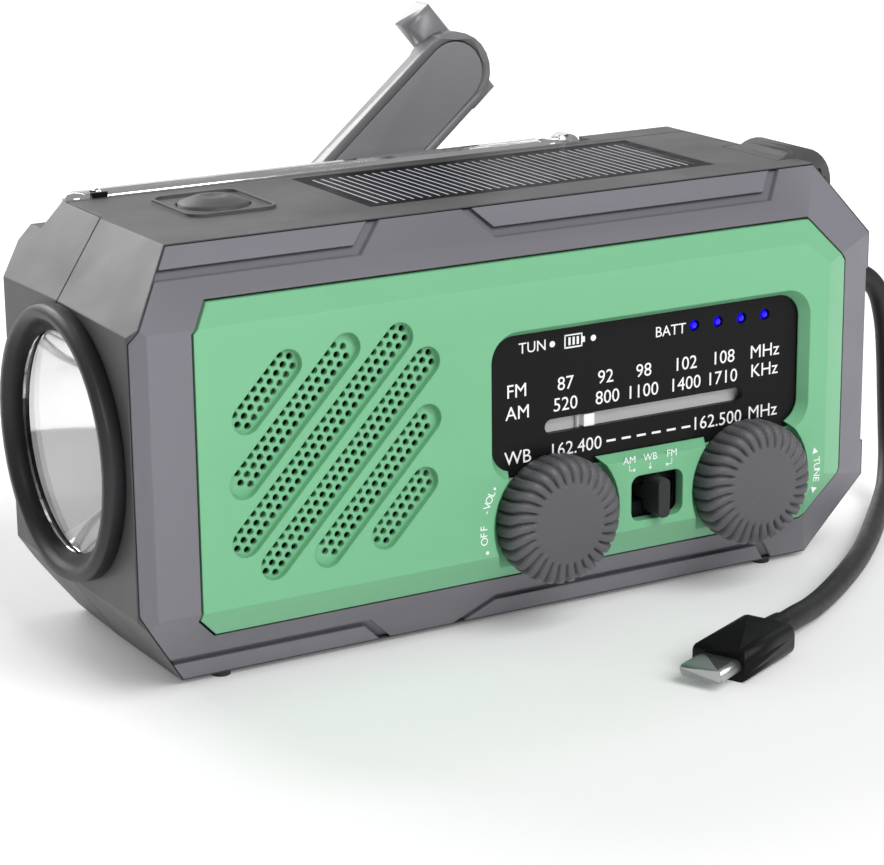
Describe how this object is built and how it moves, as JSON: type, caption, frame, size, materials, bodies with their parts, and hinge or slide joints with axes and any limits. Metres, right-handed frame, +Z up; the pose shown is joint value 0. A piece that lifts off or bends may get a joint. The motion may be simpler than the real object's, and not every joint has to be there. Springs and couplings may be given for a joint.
{
  "type": "emergency radio",
  "caption": "Portable crank-powered radio with a faceted grey housing, green facia, tuning dial, knobs, speaker slots, end torch, top solar panel, rod antenna and a short charging lead.",
  "frame": {"origin": "centre of the rubber rest pad's underside, on the surface the radio stands on", "axes": "+X to the radio's right seen from the front, away from the torch; +Y from the facia to the crank side; +Z up"},
  "size_m": [0.1882, 0.1146, 0.1028],
  "materials": {
    "shell_grey": "fine grained",
    "frame_grey": "fine grained",
    "facia_green": "satin",
    "knob_grey": "fine grained",
    "torch_black": "fine grained",
    "black_plastic": "semi gloss",
    "pale_plastic": "satin",
    "pointer_white": "satin",
    "blue_lens": "clear tint",
    "chrome": "polished",
    "steel": "brushed",
    "crank_grey": "semi gloss",
    "clear_lens": "clear",
    "solar_cell": "coated",
    "board_green": "solder mask",
    "gear_white": "satin",
    "rubber": "matt",
    "cell_wrap": "shrink wrap",
    "cone_paper": "pressed paper"
  },
  "bodies": {
    "housing": {"front_shell": "shell_grey", "rear_shell": "shell_grey", "front_frame": "frame_grey", "front_panel": "facia_green", "volume_pot": "black_plastic", "tuning_capacitor": "black_plastic", "band_switch_body": "black_plastic", "dial_plate": "black_plastic", "dial_backing": "pale_plastic", "battery_lights": "blue_lens", "speaker_basket": "steel", "speaker_cone": "cone_paper", "torch_bezel": "torch_black", "torch_lens": "clear_lens", "torch_reflector": "chrome", "torch_led": "pointer_white", "solar_panel": "solar_cell", "dynamo": "steel", "main_board": "board_green", "battery_cell_front": "cell_wrap", "battery_cell_rear": "cell_wrap", "battery_tray": "black_plastic", "battery_door": "shell_grey", "case_screw_1": "steel", "case_screw_2": "steel", "case_screw_3": "steel", "case_screw_4": "steel", "foot_1": "rubber", "foot_2": "rubber", "foot_3": "rubber", "foot_4": "rubber", "rest_pad": "rubber", "strap_lug": "shell_grey", "antenna_clip": "black_plastic", "usb_out_socket": "steel", "usb_in_socket": "steel", "lead_plug": "black_plastic", "lead_cable": "black_plastic", "lead_connector": "black_plastic", "lead_connector_tip": "steel"},
    "volume_dial": {"volume_knob": "knob_grey"},
    "tuning_dial": {"tuning_knob": "knob_grey"},
    "pointer": {"dial_pointer": "pointer_white"},
    "band_lever": {"band_switch_lever": "torch_black"},
    "light_button": {"light_button": "shell_grey"},
    "antenna_base": {"antenna_knuckle": "chrome", "antenna_tube_outer": "chrome"},
    "antenna_second": {"antenna_tube_middle": "chrome"},
    "antenna_third": {"antenna_tube_inner": "chrome"},
    "antenna_last": {"antenna_rod": "chrome"},
    "crank": {"crank_hub": "crank_grey", "crank_gear": "gear_white"},
    "crank_arm": {"crank_arm": "crank_grey", "crank_arm_cover": "crank_grey", "crank_fold_pin": "steel", "crank_grip_axle": "steel"},
    "grip": {"crank_grip": "crank_grey"},
    "idler": {"idler_gear": "gear_white"},
    "dynamo_rotor": {"dynamo_pinion": "steel"}
  },
  "joints": [
    {"name": "volume_turn", "type": "hinge", "parent": "housing", "child": "volume_dial", "pos_m": [0.002, 0, 0.0218], "axis": [0, 1, 0], "range_deg": [-90, 200]},
    {"name": "tuning_turn", "type": "hinge", "parent": "housing", "child": "tuning_dial", "pos_m": [0.0433, 0, 0.0218], "axis": [0, 1, 0], "range_deg": [-205, 900]},
    {"name": "pointer_slide", "type": "slide", "parent": "housing", "child": "pointer", "axis": [1, 0, 0], "range_m": [-0.00685, 0.0301]},
    {"name": "band_slide", "type": "slide", "parent": "housing", "child": "band_lever", "axis": [1, 0, 0], "range_m": [-0.004, 0.004]},
    {"name": "light_press", "type": "slide", "parent": "housing", "child": "light_button", "axis": [0, 0, -1], "range_m": [0, 0.0012], "stiffness_N_per_m": 600},
    {"name": "antenna_lift", "type": "hinge", "parent": "housing", "child": "antenna_base", "pos_m": [0.04, 0.0283, 0.0745], "axis": [0, 1, 0], "range_deg": [0, 118]},
    {"name": "antenna_draw_2", "type": "slide", "parent": "antenna_base", "child": "antenna_second", "axis": [-1, 0, 0], "range_m": [0, 0.078]},
    {"name": "antenna_draw_3", "type": "slide", "parent": "antenna_second", "child": "antenna_third", "axis": [-1, 0, 0], "range_m": [0, 0.075]},
    {"name": "antenna_draw_4", "type": "slide", "parent": "antenna_third", "child": "antenna_last", "axis": [-1, 0, 0], "range_m": [0, 0.072]},
    {"name": "crank_spin", "type": "hinge", "parent": "housing", "child": "crank", "pos_m": [-0.033, 0, 0.0458], "axis": [0, 1, 0], "continuous": true},
    {"name": "crank_fold", "type": "hinge", "parent": "crank", "child": "crank_arm", "pos_m": [-0.033, 0.0359, 0.0458], "axis": [-0.6494, 0, 0.7604], "range_deg": [0, 180]},
    {"name": "grip_spin", "type": "hinge", "parent": "crank_arm", "child": "grip", "pos_m": [0.01871, 0, 0.08996], "axis": [0, 1, 0], "continuous": true},
    {"name": "idler_spin", "type": "hinge", "parent": "housing", "child": "idler", "pos_m": [-0.0114, 0, 0.0458], "axis": [0, 1, 0], "continuous": true},
    {"name": "dynamo_spin", "type": "hinge", "parent": "housing", "child": "dynamo_rotor", "pos_m": [0.0026, 0, 0.0458], "axis": [0, 1, 0], "continuous": true}
  ],
  "couplings": [
    {"joint": "pointer_slide", "follows": "tuning_turn", "m_per_rad": 0.0019099},
    {"joint": "idler_spin", "follows": "crank_spin", "ratio": -3},
    {"joint": "dynamo_spin", "follows": "crank_spin", "ratio": 9}
  ]
}
